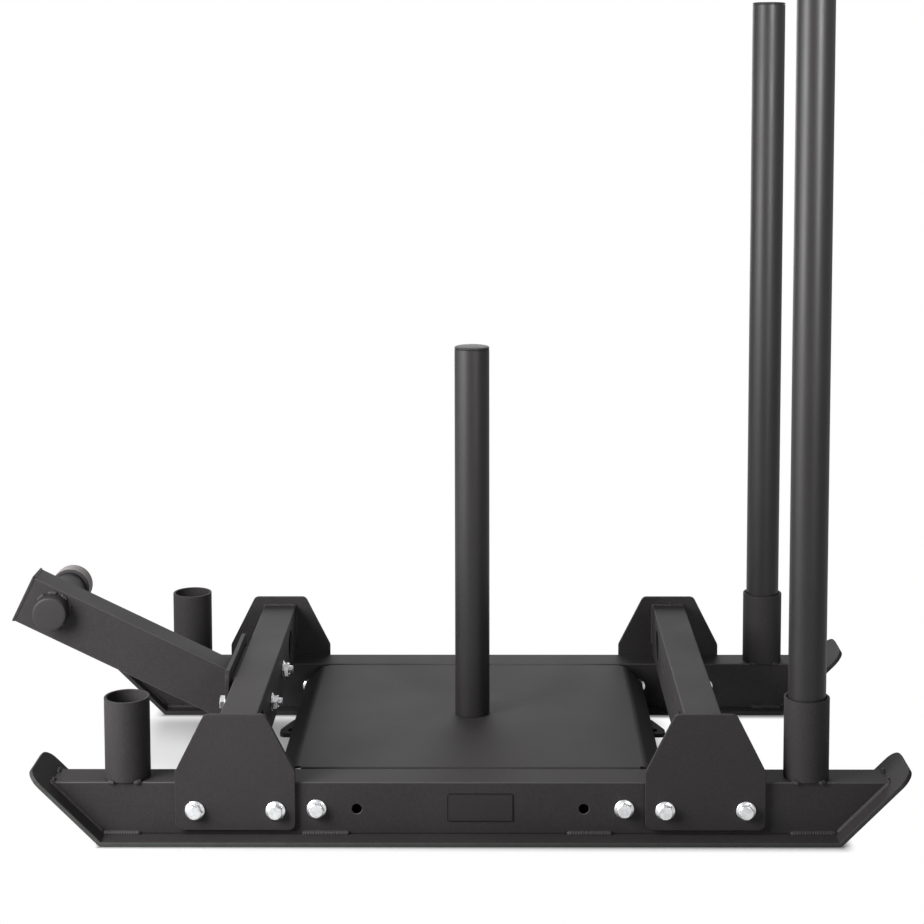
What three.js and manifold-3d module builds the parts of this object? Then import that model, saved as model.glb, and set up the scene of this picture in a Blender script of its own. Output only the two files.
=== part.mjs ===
// Push sled: two steel skids joined by two crossbars, with a weight tray and post between them,
// four pole sockets, two push poles and a tow arm bolted to the front crossbar.
// Millimetres, +Z up, standing on z = 0. The sled is pushed towards -X; its left side is -Y.
import * as THREE from 'three';
import { mergeVertices } from 'three/addons/utils/BufferGeometryUtils.js';
import Module from 'manifold-3d';

const wasm = await Module();
wasm.setup();

// Clearances shared by all pieces
const weldGap = 0.2;
const cutOverrun = 5;

// Rails: rectangular tubes with both ends cut on the slope of the skid plates
const railSpacing = 510;
const railWidth = 50;
const railHeight = 70;
const railWall = 3;
const railCornerRadius = 2;
const railBoltHeight = 34;

// Skid plates under the rails, set outwards from the rails' middle and turned up at both ends
const skidWidth = 100;
const skidOffset = 5;
const skidThickness = 6;
const skidFlatLength = 968;
const skidTurnUpLength = 133;
const skidTurnUpAngle = Math.PI / 4;
const skidCornerRadius = 22;

// Pole sockets on the rails, set back from the bends of the skid plates
const socketSetback = 34;
const socketOffset = 5;
const socketHeight = 108;
const socketWall = 3.5;
const socketClearance = 1.5;

// Push poles and their end caps
const poleDiameter = 50;
const poleWall = 3;
const poleLength = 1030;
const poleRestGap = 0.3;

// Crossbars on top of the rails
const barWidth = 50;
const barHeight = 80;
const barWall = 3;
const barCornerRadius = 2;
const barLargeHoleDiameter = 50;
const barLargeHoleSpacing = 380;

// Brackets: bolted plates that carry the crossbars on the outer faces of the rails
const bracketThickness = 6;
const bracketWidth = 158;
const bracketTopWidth = 80;
const bracketBottomRise = 7;
const bracketShoulderHeight = 79;
const bracketTopOverBar = 13;
const bracketBottomRadius = 9;
const bracketTopRadius = 9;
const bracketBoltSpacing = 106;
const bracketSocketGap = 32;

// Weight tray between the rails, bolted next to the brackets, with a tow eye under each end
const trayBoltStep = 53.5;
const spareHoleStep = 53;
const trayBoltToEnd = 28.5;
const trayThickness = 3;
const traySideBendRadius = 7;
const traySideBelowBolt = 16;
const traySideClearance = 0.5;
const trayEndBendRadius = 15;
const trayEndAngle = Math.PI / 4;
const trayEndDrop = 26;
const trayCornerNotch = 2.5;
const towEyeThickness = 6;
const towEyeReach = 17.3;
const towEyeTuck = 24;
const towEyeShoulderReach = 1.5;
const towEyeLeftSide = 11;
const towEyeRightSide = 52;
const towEyeTipWidth = 20;
const towEyeTipRadius = 8;
const towEyeBaseRadius = 7;
const towEyeBackRadius = 6;
const towEyeHoleDiameter = 13;
const towEyeHoleOut = 0.5;
const towEyeHoleOffset = 5;

// Weight post and its end cap
const postDiameter = 50;
const postWall = 3;
const postHeight = 534.5;

// Plastic end caps of the post and poles
const capLipThickness = 3.5;
const capPlugDepth = 20;
const capPlugClearance = 0.4;
const capPlugWall = 2.5;
const capDomeInset = 3;
const capRimShare = 0.5;
const capShoulderShare = 0.85;

// Tow arm on the front crossbar
const flangeBoltToEdge = 25;
const flangeThickness = 6;
const flangeTopOverBar = 10;
const flangeBelowArm = 8;
const flangeCornerRadius = 12;
const packerThickness = 6;
const packerTopSetback = 16;
const packerSideSetback = 12;
const armBoltSpacing = 150;
const armAngle = THREE.MathUtils.degToRad(26);
const armRootDrop = 11;
const armLength = 334;
const armHeight = 70;
const armWidth = 50;
const armWall = 3;
const armCornerRadius = 2;
const armEndPlateThickness = 3;
const armEndPlateProud = 1;

// Peg: a tube through the outer end of the tow arm, with a cap on each end
const pegDiameter = 48;
const pegWall = 3;
const pegSetback = 46.5;
const pegRise = 4;
const pegLeftStub = 22;
const pegRightStub = 91.5;
const pegHoleClearance = 0.3;
const pegLeftCapLip = 3;
const pegLeftCapPlugDepth = 14;
const pegRightCapWall = 4.7;
const pegRightCapLength = 30.5;
const pegRightCapEndThickness = 3;

// Badge: a bare plate on the left rail
const badgeLength = 87;
const badgeHeight = 38;
const badgeThickness = 0.8;
const badgeCornerRadius = 3;
const badgeOffset = 13;
const badgeMiddleHeight = 36;

// Flange bolts and nuts
const boltDiameter = 12;
const boltHoleClearance = 0.75;
const boltHeadAcrossFlats = 18;
const boltHeadHeight = 9;
const boltFlangeDiameter = 26;
const boltFlangeThickness = 2.2;
const boltTailLength = 5.5;
const nutHeight = 10;
const nutBoreClearance = 0.3;

// Facet counts
const tubeSides = 32;
const boltSides = 12;
const holeSides = 12;
const cornerSteps = 2;
const bendSteps = 3;

// Places worked out from the sizes above
const railTopZ = skidThickness + railHeight;
const railHalf = railWidth / 2;
const railOuterFace = railSpacing / 2 + railHalf;
const railInnerFace = railSpacing / 2 - railHalf;
const railBoltZ = skidThickness + railBoltHeight;
const skidRunShare = Math.cos(skidTurnUpAngle);
const skidRiseShare = Math.sin(skidTurnUpAngle);
const skidReach = skidFlatLength / 2 + skidTurnUpLength * skidRunShare;
const socketDiameter = poleDiameter + 2 * (socketClearance + socketWall);
const socketX = skidFlatLength / 2 - socketSetback;
const barX = socketX - socketDiameter / 2 - bracketSocketGap - bracketWidth / 2;
const trayBoltX = barX - bracketBoltSpacing / 2 - trayBoltStep;
const boltHoleDiameter = boltDiameter + 2 * boltHoleClearance;
const barBottomZ = railTopZ + weldGap;
const barCentreZ = barBottomZ + barHeight / 2;
const barTopZ = barBottomZ + barHeight;
const barLength = 2 * (railOuterFace - weldGap);
const packerFaceX = -barX - barWidth / 2 - weldGap;
const flangeBackX = packerFaceX - packerThickness - weldGap;
const flangeFaceX = flangeBackX - flangeThickness;
const flangeTopZ = barTopZ + flangeTopOverBar;
const flangeWidth = armBoltSpacing + 2 * flangeBoltToEdge;
const armRootZ = barCentreZ - armRootDrop;
const flangeBottomZ = armRootZ - armHeight / 2 / Math.cos(armAngle) - flangeBelowArm;
const armReach = -flangeFaceX + armLength * Math.cos(armAngle)
  + (armHeight / 2 + armEndPlateProud) * Math.sin(armAngle);
const frameShift = (armReach - skidReach) / 2;

// Materials
const powderCoat = { color: 0x2b2a2b, roughness: 0.62, metalness: 0.1 };
const tubeCoat = { color: 0x29282a, roughness: 0.55, metalness: 0.1 };
const zinc = { color: 0xc9ccd0, roughness: 0.3, metalness: 0.9 };
const blackPlastic = { color: 0x222123, roughness: 0.5, metalness: 0 };
const greyRubber = { color: 0x6a6462, roughness: 0.75, metalness: 0 };

const axisX = new THREE.Vector3(1, 0, 0);
const axisY = new THREE.Vector3(0, 1, 0);
const axisZ = new THREE.Vector3(0, 0, 1);

// Orientations for a shape that is extruded along its own third axis
const alongX = new THREE.Matrix4().makeBasis(axisY, axisZ, axisX);
const alongY = new THREE.Matrix4().makeBasis(axisX, axisZ, axisY.clone().negate());
const alongZ = new THREE.Matrix4();

function toSolid(geometry) {
  const bare = geometry.clone();
  bare.deleteAttribute('normal');
  bare.deleteAttribute('uv');
  const merged = mergeVertices(bare);
  return new wasm.Manifold(new wasm.Mesh({
    numProp: 3,
    vertProperties: new Float32Array(merged.attributes.position.array),
    triVerts: new Uint32Array(merged.index.array),
  }));
}

function toGeometry(solid) {
  const mesh = solid.getMesh();
  const geometry = new THREE.BufferGeometry();
  geometry.setAttribute('position', new THREE.BufferAttribute(mesh.vertProperties, mesh.numProp));
  geometry.setIndex(new THREE.BufferAttribute(mesh.triVerts, 1));
  const flat = geometry.toNonIndexed();
  flat.computeVertexNormals();
  return flat;
}

function cut(geometry, cutters) {
  let solid = toSolid(geometry);
  for (const cutter of cutters) {
    solid = solid.subtract(toSolid(cutter));
  }
  return toGeometry(solid);
}

function join(geometries) {
  let solid = toSolid(geometries[0]);
  for (const geometry of geometries.slice(1)) {
    solid = solid.add(toSolid(geometry));
  }
  return toGeometry(solid);
}

function piece(name, geometry, finish) {
  const mesh = new THREE.Mesh(geometry, new THREE.MeshStandardMaterial(finish));
  mesh.name = name;
  return mesh;
}

// A prism of the given outline, centred along its length
function prism(shape, length, orientation) {
  const geometry = new THREE.ExtrudeGeometry(shape, {
    depth: length,
    bevelEnabled: false,
    curveSegments: cornerSteps,
  });
  geometry.translate(0, 0, -length / 2);
  geometry.applyMatrix4(orientation);
  return geometry;
}

// A closed outline through corners [x, y, radius], each rounded by its own radius
function roundedOutline(corners, target = new THREE.Shape()) {
  const count = corners.length;
  corners.forEach(([x, y, radius], index) => {
    const before = corners[(index + count - 1) % count];
    const after = corners[(index + 1) % count];
    const here = new THREE.Vector2(x, y);
    const toBefore = new THREE.Vector2(before[0], before[1]).sub(here).normalize();
    const toAfter = new THREE.Vector2(after[0], after[1]).sub(here).normalize();
    const halfAngle = Math.acos(toBefore.dot(toAfter)) / 2;
    const setback = radius / Math.tan(halfAngle);
    const start = here.clone().addScaledVector(toBefore, setback);
    const end = here.clone().addScaledVector(toAfter, setback);
    if (index === 0) {
      target.moveTo(start.x, start.y);
    } else {
      target.lineTo(start.x, start.y);
    }
    if (radius > 0) {
      const middle = toBefore.clone().add(toAfter).normalize();
      const centre = here.clone().addScaledVector(middle, radius / Math.sin(halfAngle));
      const from = start.clone().sub(centre).angle();
      const to = end.clone().sub(centre).angle();
      const clockwise = toAfter.clone().cross(toBefore) < 0;
      target.absarc(centre.x, centre.y, radius, from, to, clockwise);
    }
  });
  target.closePath();
  return target;
}

function rectangle(width, height, radius, target) {
  return roundedOutline([
    [-width / 2, -height / 2, radius],
    [width / 2, -height / 2, radius],
    [width / 2, height / 2, radius],
    [-width / 2, height / 2, radius],
  ], target);
}

// A length of rectangular tube with rounded corners
function rectangularTube(width, height, wall, radius, length, orientation) {
  const section = rectangle(width, height, radius);
  section.holes.push(rectangle(width - 2 * wall, height - 2 * wall, radius / 2, new THREE.Path()));
  return prism(section, length, orientation);
}

function cylinderAlong(axis, radius, length, sides) {
  const geometry = new THREE.CylinderGeometry(radius, radius, length, sides);
  if (axis === axisX) {
    geometry.rotateZ(Math.PI / 2);
  }
  if (axis === axisZ) {
    geometry.rotateX(Math.PI / 2);
  }
  return geometry;
}

// A turned piece about the Z axis from [radius, z] points
function turned(points, sides) {
  const geometry = new THREE.LatheGeometry(points.map(([radius, z]) => new THREE.Vector2(radius, z)), sides);
  geometry.rotateX(Math.PI / 2);
  return geometry;
}

// A round tube along Z standing on z = 0
function roundTube(diameter, wall, length) {
  const outer = diameter / 2;
  const inner = outer - wall;
  return turned([[inner, 0], [outer, 0], [outer, length], [inner, length], [inner, 0]], tubeSides);
}

// A plastic end cap: a domed lip over the tube's end and a hollow plug inside it
function plugCap(diameter, wall, lip, plugDepth) {
  const lipRadius = diameter / 2;
  const plugRadius = lipRadius - wall - capPlugClearance;
  const coreRadius = plugRadius - capPlugWall;
  return turned([
    [0, 0],
    [coreRadius, 0],
    [coreRadius, -plugDepth],
    [plugRadius, -plugDepth],
    [plugRadius, weldGap],
    [lipRadius, weldGap],
    [lipRadius, weldGap + lip * capRimShare],
    [lipRadius - capDomeInset, weldGap + lip * capShoulderShare],
    [0, weldGap + lip],
  ], tubeSides);
}

// The head sits at the origin with its bearing face on z = 0 and the shank pointing to -Z
function flangeBolt(grip) {
  const shank = boltDiameter / 2;
  const flange = boltFlangeDiameter / 2;
  const cornerRadius = boltHeadAcrossFlats / 2 / Math.cos(Math.PI / 6);
  const tip = -(grip + nutHeight + boltTailLength);
  const body = turned([
    [0, tip],
    [shank, tip],
    [shank, 0],
    [flange, 0],
    [flange, boltFlangeThickness],
    [0, boltFlangeThickness],
  ], boltSides);
  const head = new THREE.CylinderGeometry(cornerRadius, cornerRadius, boltHeadHeight, 6);
  head.rotateX(Math.PI / 2);
  head.translate(0, 0, boltFlangeThickness / 2 + boltHeadHeight / 2);
  return join([body, head]);
}

// The nut sits with its bearing face on z = 0 and rises along +Z
function flangeNut() {
  const bore = boltDiameter / 2 + nutBoreClearance;
  const flange = boltFlangeDiameter / 2;
  const cornerRadius = boltHeadAcrossFlats / 2 / Math.cos(Math.PI / 6);
  const hex = new THREE.CylinderGeometry(cornerRadius, cornerRadius, nutHeight, 6);
  hex.rotateX(Math.PI / 2);
  hex.translate(0, 0, nutHeight / 2);
  const washer = cylinderAlong(axisZ, flange, boltFlangeThickness, boltSides);
  washer.translate(0, 0, boltFlangeThickness / 2);
  const hole = cylinderAlong(axisZ, bore, 2 * (nutHeight + cutOverrun), boltSides);
  return cut(join([hex, washer]), [hole]);
}

const sharedNut = flangeNut();

// A bolt and its nut through a stack of the given thickness; the head faces -Z of the group
function boltPair(name, grip) {
  const pair = new THREE.Group();
  const bolt = piece(`${name}_bolt`, flangeBolt(grip + 2 * weldGap), zinc);
  bolt.position.z = weldGap;
  const nut = piece(`${name}_nut`, sharedNut, zinc);
  nut.rotation.x = Math.PI;
  nut.position.z = -grip - weldGap;
  pair.add(bolt, nut);
  return pair;
}

function boltHole(axis, length) {
  return cylinderAlong(axis, boltHoleDiameter / 2, length, holeSides);
}

// Every place along the rail that carries a bolt or a spare hole
function railBoltPlaces() {
  const places = [];
  for (const end of [-1, 1]) {
    places.push(end * (barX - bracketBoltSpacing / 2));
    places.push(end * (barX + bracketBoltSpacing / 2));
    places.push(end * trayBoltX);
    places.push(end * (trayBoltX - spareHoleStep));
  }
  return places;
}

// The slope that a skid end makes at the given height, on the plate's inner face
function innerSlopeX(z) {
  const flatEnd = skidFlatLength / 2 - skidThickness * Math.tan(skidTurnUpAngle / 2);
  return flatEnd + (z - skidThickness) / Math.tan(skidTurnUpAngle);
}

function rail() {
  const tube = rectangularTube(railWidth, railHeight, railWall, railCornerRadius, 2 * skidReach, alongX);
  tube.translate(0, 0, skidThickness + railHeight / 2);
  const cutters = [];
  const low = -cutOverrun;
  const high = railTopZ + cutOverrun;
  const gap = weldGap / Math.sin(skidTurnUpAngle);
  for (const end of [-1, 1]) {
    const wedge = new THREE.Shape();
    wedge.moveTo(end * (innerSlopeX(low) - gap), low);
    wedge.lineTo(end * (innerSlopeX(high) - gap), high);
    wedge.lineTo(end * (skidReach + high), high);
    wedge.lineTo(end * (skidReach + high), low);
    wedge.closePath();
    cutters.push(prism(wedge, railWidth + 2 * cutOverrun, alongY));
  }
  for (const x of railBoltPlaces()) {
    const hole = boltHole(axisY, railWidth + 2 * cutOverrun);
    hole.translate(x, 0, railBoltZ);
    cutters.push(hole);
  }
  return cut(tube, cutters);
}

// A square corner less its round, used to round off the turned-up ends
function cornerCutter(radius) {
  const shape = new THREE.Shape();
  shape.moveTo(0, 0);
  shape.lineTo(-radius, 0);
  shape.absarc(-radius, -radius, radius, Math.PI / 2, 0, true);
  shape.lineTo(cutOverrun, -radius);
  shape.lineTo(cutOverrun, cutOverrun);
  shape.lineTo(-radius, cutOverrun);
  shape.lineTo(-radius, 0);
  return shape;
}

function skidPlate() {
  const bendX = skidFlatLength / 2;
  const innerBendX = innerSlopeX(skidThickness);
  const tipX = skidReach;
  const tipZ = skidTurnUpLength * skidRiseShare;
  const backX = tipX - skidThickness * skidRiseShare;
  const backZ = tipZ + skidThickness * skidRunShare;
  const profile = roundedOutline([
    [-bendX, 0, skidThickness],
    [bendX, 0, skidThickness],
    [tipX, tipZ, 0],
    [backX, backZ, 0],
    [innerBendX, skidThickness, 0],
    [-innerBendX, skidThickness, 0],
    [-backX, backZ, 0],
    [-tipX, tipZ, 0],
  ]);
  const plate = prism(profile, skidWidth, alongY);
  const cutters = [];
  for (const end of [-1, 1]) {
    for (const side of [-1, 1]) {
      const corner = new THREE.ExtrudeGeometry(cornerCutter(skidCornerRadius), {
        depth: skidThickness + 2 * cutOverrun,
        bevelEnabled: false,
        curveSegments: 2 * cornerSteps,
      });
      corner.translate(0, 0, -cutOverrun);
      const slope = new THREE.Vector3(skidRunShare, 0, skidRiseShare);
      const normal = new THREE.Vector3(-skidRiseShare, 0, skidRunShare);
      const turn = new THREE.Matrix4().makeBasis(slope, axisY, normal);
      if (side < 0) {
        corner.applyMatrix4(new THREE.Matrix4().makeRotationX(Math.PI));
        corner.translate(0, 0, skidThickness);
      }
      corner.applyMatrix4(turn);
      corner.translate(tipX, side * skidWidth / 2, tipZ);
      if (end < 0) {
        corner.rotateZ(Math.PI);
      }
      cutters.push(corner);
    }
  }
  return cut(plate, cutters);
}

function bracket() {
  const bottom = railTopZ - railHeight + bracketBottomRise;
  const shoulder = bottom + bracketShoulderHeight;
  const top = barTopZ + bracketTopOverBar;
  const outline = roundedOutline([
    [-bracketWidth / 2, bottom, bracketBottomRadius],
    [bracketWidth / 2, bottom, bracketBottomRadius],
    [bracketWidth / 2, shoulder, bracketBottomRadius],
    [bracketTopWidth / 2, top, bracketTopRadius],
    [-bracketTopWidth / 2, top, bracketTopRadius],
    [-bracketWidth / 2, shoulder, bracketBottomRadius],
  ]);
  const holes = [-1, 1].map((end) => {
    const hole = boltHole(axisY, bracketThickness + 2 * cutOverrun);
    hole.translate(end * bracketBoltSpacing / 2, 0, railBoltZ);
    return hole;
  });
  return cut(prism(outline, bracketThickness, alongY), holes);
}

// One rail with its skid plate, sockets, brackets and bolts; the other side is this one turned round
function sideAssembly(side, turn, endNames) {
  const group = new THREE.Group();
  group.rotation.z = turn;
  group.position.y = (turn === 0 ? -1 : 1) * railSpacing / 2;
  group.add(piece(`${side}_rail`, rail(), powderCoat));
  const runner = piece(`${side}_skid_plate`, skidPlate(), powderCoat);
  runner.position.y = -skidOffset;
  group.add(runner);
  endNames.forEach((endName, index) => {
    const end = index === 0 ? -1 : 1;
    const name = `${endName}_${side}`;
    const socket = piece(`${name}_socket`, roundTube(socketDiameter, socketWall, socketHeight), powderCoat);
    socket.position.set(end * socketX - socketOffset, 0, railTopZ + weldGap);
    group.add(socket);
    const plate = piece(`${name}_bracket`, bracket(), powderCoat);
    plate.position.set(end * barX, -railHalf - weldGap - bracketThickness / 2, 0);
    group.add(plate);
    [-1, 1].forEach((place, order) => {
      const grip = railWidth + weldGap + bracketThickness;
      const pair = boltPair(`${name}_bracket_${order + 1}`, grip);
      pair.rotation.x = Math.PI / 2;
      const x = end * barX + place * bracketBoltSpacing / 2;
      pair.position.set(x, -railHalf - weldGap - bracketThickness, railBoltZ);
      group.add(pair);
    });
    const trayPair = boltPair(`${name}_tray`, railWidth + traySideClearance + trayThickness);
    trayPair.rotation.x = Math.PI / 2;
    trayPair.position.set(end * trayBoltX, -railHalf, railBoltZ);
    group.add(trayPair);
  });
  return group;
}

function crossbar() {
  const tube = rectangularTube(barWidth, barHeight, barWall, barCornerRadius, barLength, alongY);
  const cutters = [];
  for (const side of [-1, 1]) {
    const large = cylinderAlong(axisX, barLargeHoleDiameter / 2, barWidth + 2 * cutOverrun, tubeSides);
    large.translate(0, side * barLargeHoleSpacing / 2, 0);
    cutters.push(large);
    const small = boltHole(axisX, barWidth + 2 * cutOverrun);
    small.translate(0, side * armBoltSpacing / 2, 0);
    cutters.push(small);
  }
  return cut(tube, cutters);
}

// An arc of a bend from the flat top, turning down by the given angle; radius is of the outer face
function bendPoints(centreX, centreZ, radius, angle, steps) {
  const points = [];
  for (let step = 0; step <= steps; step += 1) {
    const turn = angle * step / steps;
    points.push([centreX + radius * Math.sin(turn), centreZ + radius * Math.cos(turn)]);
  }
  return points;
}

// Half of a sheet section: flat from the middle, a bend and a straight flange, given as an outline
function foldedSection(flatHalf, radius, angle, straight) {
  const centreZ = railTopZ - radius;
  const outer = bendPoints(flatHalf, centreZ, radius, angle, bendSteps);
  const inner = bendPoints(flatHalf, centreZ, radius - trayThickness, angle, bendSteps);
  const along = [Math.cos(angle) * straight, -Math.sin(angle) * straight];
  const outerEnd = outer[outer.length - 1];
  const innerEnd = inner[inner.length - 1];
  outer.push([outerEnd[0] + along[0], outerEnd[1] + along[1]]);
  inner.push([innerEnd[0] + along[0], innerEnd[1] + along[1]]);
  const half = [...outer, ...inner.reverse()];
  const mirrored = half.map(([x, z]) => [-x, z]).reverse();
  const shape = new THREE.Shape();
  const ring = [...half, ...mirrored];
  ring.forEach(([x, z], index) => {
    if (index === 0) {
      shape.moveTo(x, z);
    } else {
      shape.lineTo(x, z);
    }
  });
  shape.closePath();
  return shape;
}

const trayHalfWidth = railInnerFace - traySideClearance;
const trayEndFlat = trayBoltX + trayBoltToEnd;
const traySideDepth = railHeight - railBoltHeight + traySideBelowBolt;
const trayEndStraight = (trayEndDrop - trayEndBendRadius * (1 - Math.cos(trayEndAngle))) / Math.sin(trayEndAngle);
const trayEndReach = trayEndFlat + trayEndBendRadius * Math.sin(trayEndAngle)
  + trayEndStraight * Math.cos(trayEndAngle);
const trayEndLowZ = railTopZ - trayEndDrop - trayThickness * Math.cos(trayEndAngle);

function tray() {
  const sideFlat = trayHalfWidth - traySideBendRadius;
  const sideSection = foldedSection(sideFlat, traySideBendRadius, Math.PI / 2, traySideDepth - traySideBendRadius);
  const sides = prism(sideSection, 2 * (trayEndFlat - trayCornerNotch), alongX);
  const endSection = foldedSection(trayEndFlat, trayEndBendRadius, trayEndAngle, trayEndStraight);
  const ends = prism(endSection, 2 * (sideFlat - trayCornerNotch), alongY);
  const cutters = [];
  for (const end of [-1, 1]) {
    for (const side of [-1, 1]) {
      const hole = boltHole(axisY, trayThickness + 2 * cutOverrun);
      hole.translate(end * trayBoltX, side * trayHalfWidth, railBoltZ);
      cutters.push(hole);
    }
  }
  return cut(join([sides, ends]), cutters);
}

// A tongue with a hole, lying flat under the tray's end and pointing to +X: its left side is
// straight and its right side slopes back
function towEye() {
  const tipX = trayEndReach + towEyeReach;
  const backX = trayEndReach - towEyeTuck;
  const shoulderX = trayEndReach + towEyeShoulderReach;
  const outline = roundedOutline([
    [backX, -towEyeLeftSide, towEyeBackRadius],
    [tipX, -towEyeLeftSide, towEyeTipRadius],
    [tipX, towEyeTipWidth - towEyeLeftSide, towEyeTipRadius],
    [shoulderX, towEyeRightSide, towEyeBaseRadius],
    [backX, towEyeRightSide, towEyeBackRadius],
  ]);
  const hole = cylinderAlong(axisZ, towEyeHoleDiameter / 2, towEyeThickness + 2 * cutOverrun, holeSides);
  hole.translate(trayEndReach + towEyeHoleOut, towEyeHoleOffset, 0);
  return cut(prism(outline, towEyeThickness, alongZ), [hole]);
}

function trayAssembly() {
  const group = new THREE.Group();
  group.add(piece('weight_tray', tray(), powderCoat));
  for (const [name, turn] of [['front_tow_eye', Math.PI], ['rear_tow_eye', 0]]) {
    const eye = piece(name, towEye(), powderCoat);
    eye.rotation.y = turn;
    eye.position.z = trayEndLowZ - weldGap - towEyeThickness / 2;
    group.add(eye);
  }
  const post = piece('weight_post', roundTube(postDiameter, postWall, postHeight), tubeCoat);
  post.position.z = railTopZ + weldGap;
  const postCap = piece(
    'weight_post_cap',
    plugCap(postDiameter, postWall, capLipThickness, capPlugDepth),
    blackPlastic,
  );
  postCap.position.z = railTopZ + weldGap + postHeight;
  group.add(post, postCap);
  return group;
}

function pushPole(side) {
  const group = new THREE.Group();
  group.add(piece(`${side}_push_pole`, roundTube(poleDiameter, poleWall, poleLength), tubeCoat));
  const cap = piece(`${side}_pole_cap`, plugCap(poleDiameter, poleWall, capLipThickness, capPlugDepth), blackPlastic);
  cap.position.z = poleLength;
  group.add(cap);
  return group;
}

function armTube() {
  const long = 2 * armLength;
  const tube = rectangularTube(armWidth, armHeight, armWall, armCornerRadius, long, alongX);
  tube.translate(-armLength + armEndPlateThickness + weldGap + long / 2, 0, 0);
  const hole = cylinderAlong(axisY, pegDiameter / 2 + pegHoleClearance, armWidth + 2 * cutOverrun, tubeSides);
  hole.translate(-armLength + pegSetback, 0, pegRise);
  const block = new THREE.BoxGeometry(long, armWidth + 2 * cutOverrun, 2 * long);
  block.translate(long / 2, 0, 0);
  block.rotateY(-armAngle);
  block.translate(-weldGap / Math.cos(armAngle), 0, 0);
  return cut(tube, [hole, block]);
}

function boltedPlate(topZ, bottomZ, width, thickness) {
  const outline = rectangle(width, topZ - bottomZ, flangeCornerRadius);
  const plate = prism(outline, thickness, alongX);
  plate.translate(0, 0, (topZ + bottomZ) / 2);
  const holes = [-1, 1].map((side) => {
    const hole = boltHole(axisX, thickness + 2 * cutOverrun);
    hole.translate(0, side * armBoltSpacing / 2, barCentreZ);
    return hole;
  });
  return cut(plate, holes);
}

// A cap that fits over the right end of the peg, opening towards -Z
function pegOverCap() {
  const bore = pegDiameter / 2 + pegHoleClearance;
  const outer = bore + pegRightCapWall;
  const depth = pegRightCapLength - pegRightCapEndThickness;
  return turned([
    [0, 0],
    [bore, 0],
    [bore, -depth],
    [outer, -depth],
    [outer, pegRightCapEndThickness - capDomeInset / 2],
    [outer - capDomeInset / 2, pegRightCapEndThickness],
    [0, pegRightCapEndThickness],
  ], tubeSides);
}

function towArm() {
  const group = new THREE.Group();
  const packer = piece(
    'tow_arm_packer',
    boltedPlate(
      flangeTopZ - packerTopSetback,
      flangeBottomZ,
      flangeWidth - 2 * packerSideSetback,
      packerThickness,
    ),
    powderCoat,
  );
  packer.position.x = packerFaceX - packerThickness / 2;
  const flange = piece(
    'tow_arm_flange',
    boltedPlate(flangeTopZ, flangeBottomZ, flangeWidth, flangeThickness),
    powderCoat,
  );
  flange.position.x = flangeBackX - flangeThickness / 2;
  group.add(packer, flange);

  const arm = new THREE.Group();
  arm.position.set(flangeFaceX, 0, armRootZ);
  arm.rotation.y = armAngle;
  arm.add(piece('tow_arm_tube', armTube(), powderCoat));
  const endOutline = rectangle(armWidth + 2 * armEndPlateProud, armHeight + 2 * armEndPlateProud, armCornerRadius);
  const endPlate = piece('tow_arm_end_plate', prism(endOutline, armEndPlateThickness, alongX), powderCoat);
  endPlate.position.x = -armLength + armEndPlateThickness / 2;
  arm.add(endPlate);

  const peg = new THREE.Group();
  peg.position.set(-armLength + pegSetback, 0, pegRise);
  peg.rotation.x = -Math.PI / 2;
  const pegLength = armWidth + pegLeftStub + pegRightStub;
  const pegTube = piece('tow_arm_peg', roundTube(pegDiameter, pegWall, pegLength), tubeCoat);
  pegTube.position.z = -armWidth / 2 - pegLeftStub;
  const leftCap = piece(
    'peg_left_cap',
    plugCap(pegDiameter, pegWall, pegLeftCapLip, pegLeftCapPlugDepth),
    blackPlastic,
  );
  leftCap.rotation.x = Math.PI;
  leftCap.position.z = pegTube.position.z;
  const rightCap = piece('peg_right_cap', pegOverCap(), greyRubber);
  rightCap.position.z = armWidth / 2 + pegRightStub + weldGap;
  peg.add(pegTube, leftCap, rightCap);
  arm.add(peg);
  group.add(arm);

  for (const [side, name] of [[-1, 'left'], [1, 'right']]) {
    const grip = flangeThickness + packerThickness + barWidth + 2 * weldGap;
    const pair = boltPair(`${name}_arm`, grip);
    pair.rotation.y = -Math.PI / 2;
    pair.position.set(flangeFaceX, side * armBoltSpacing / 2, barCentreZ);
    group.add(pair);
  }
  return group;
}

const sled = new THREE.Group();
sled.position.x = frameShift;
sled.add(sideAssembly('left', 0, ['front', 'rear']));
sled.add(sideAssembly('right', Math.PI, ['rear', 'front']));
for (const [name, end] of [['front_crossbar', -1], ['rear_crossbar', 1]]) {
  const bar = piece(name, crossbar(), powderCoat);
  bar.position.set(end * barX, 0, barCentreZ);
  sled.add(bar);
}
sled.add(trayAssembly());
sled.add(towArm());
for (const [side, across] of [['left', -1], ['right', 1]]) {
  const pole = pushPole(side);
  const x = socketX + across * socketOffset;
  pole.position.set(x, across * railSpacing / 2, railTopZ + poleRestGap);
  sled.add(pole);
}
const badge = piece('badge_plate', prism(
  rectangle(badgeLength, badgeHeight, badgeCornerRadius),
  badgeThickness,
  alongY,
), powderCoat);
badge.position.set(badgeOffset, -railOuterFace - weldGap - badgeThickness / 2, skidThickness + badgeMiddleHeight);
sled.add(badge);

export default sled;
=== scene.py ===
import math
import random

import bmesh
import bpy
from mathutils import Matrix, Vector
from mathutils.geometry import tessellate_polygon


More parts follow.
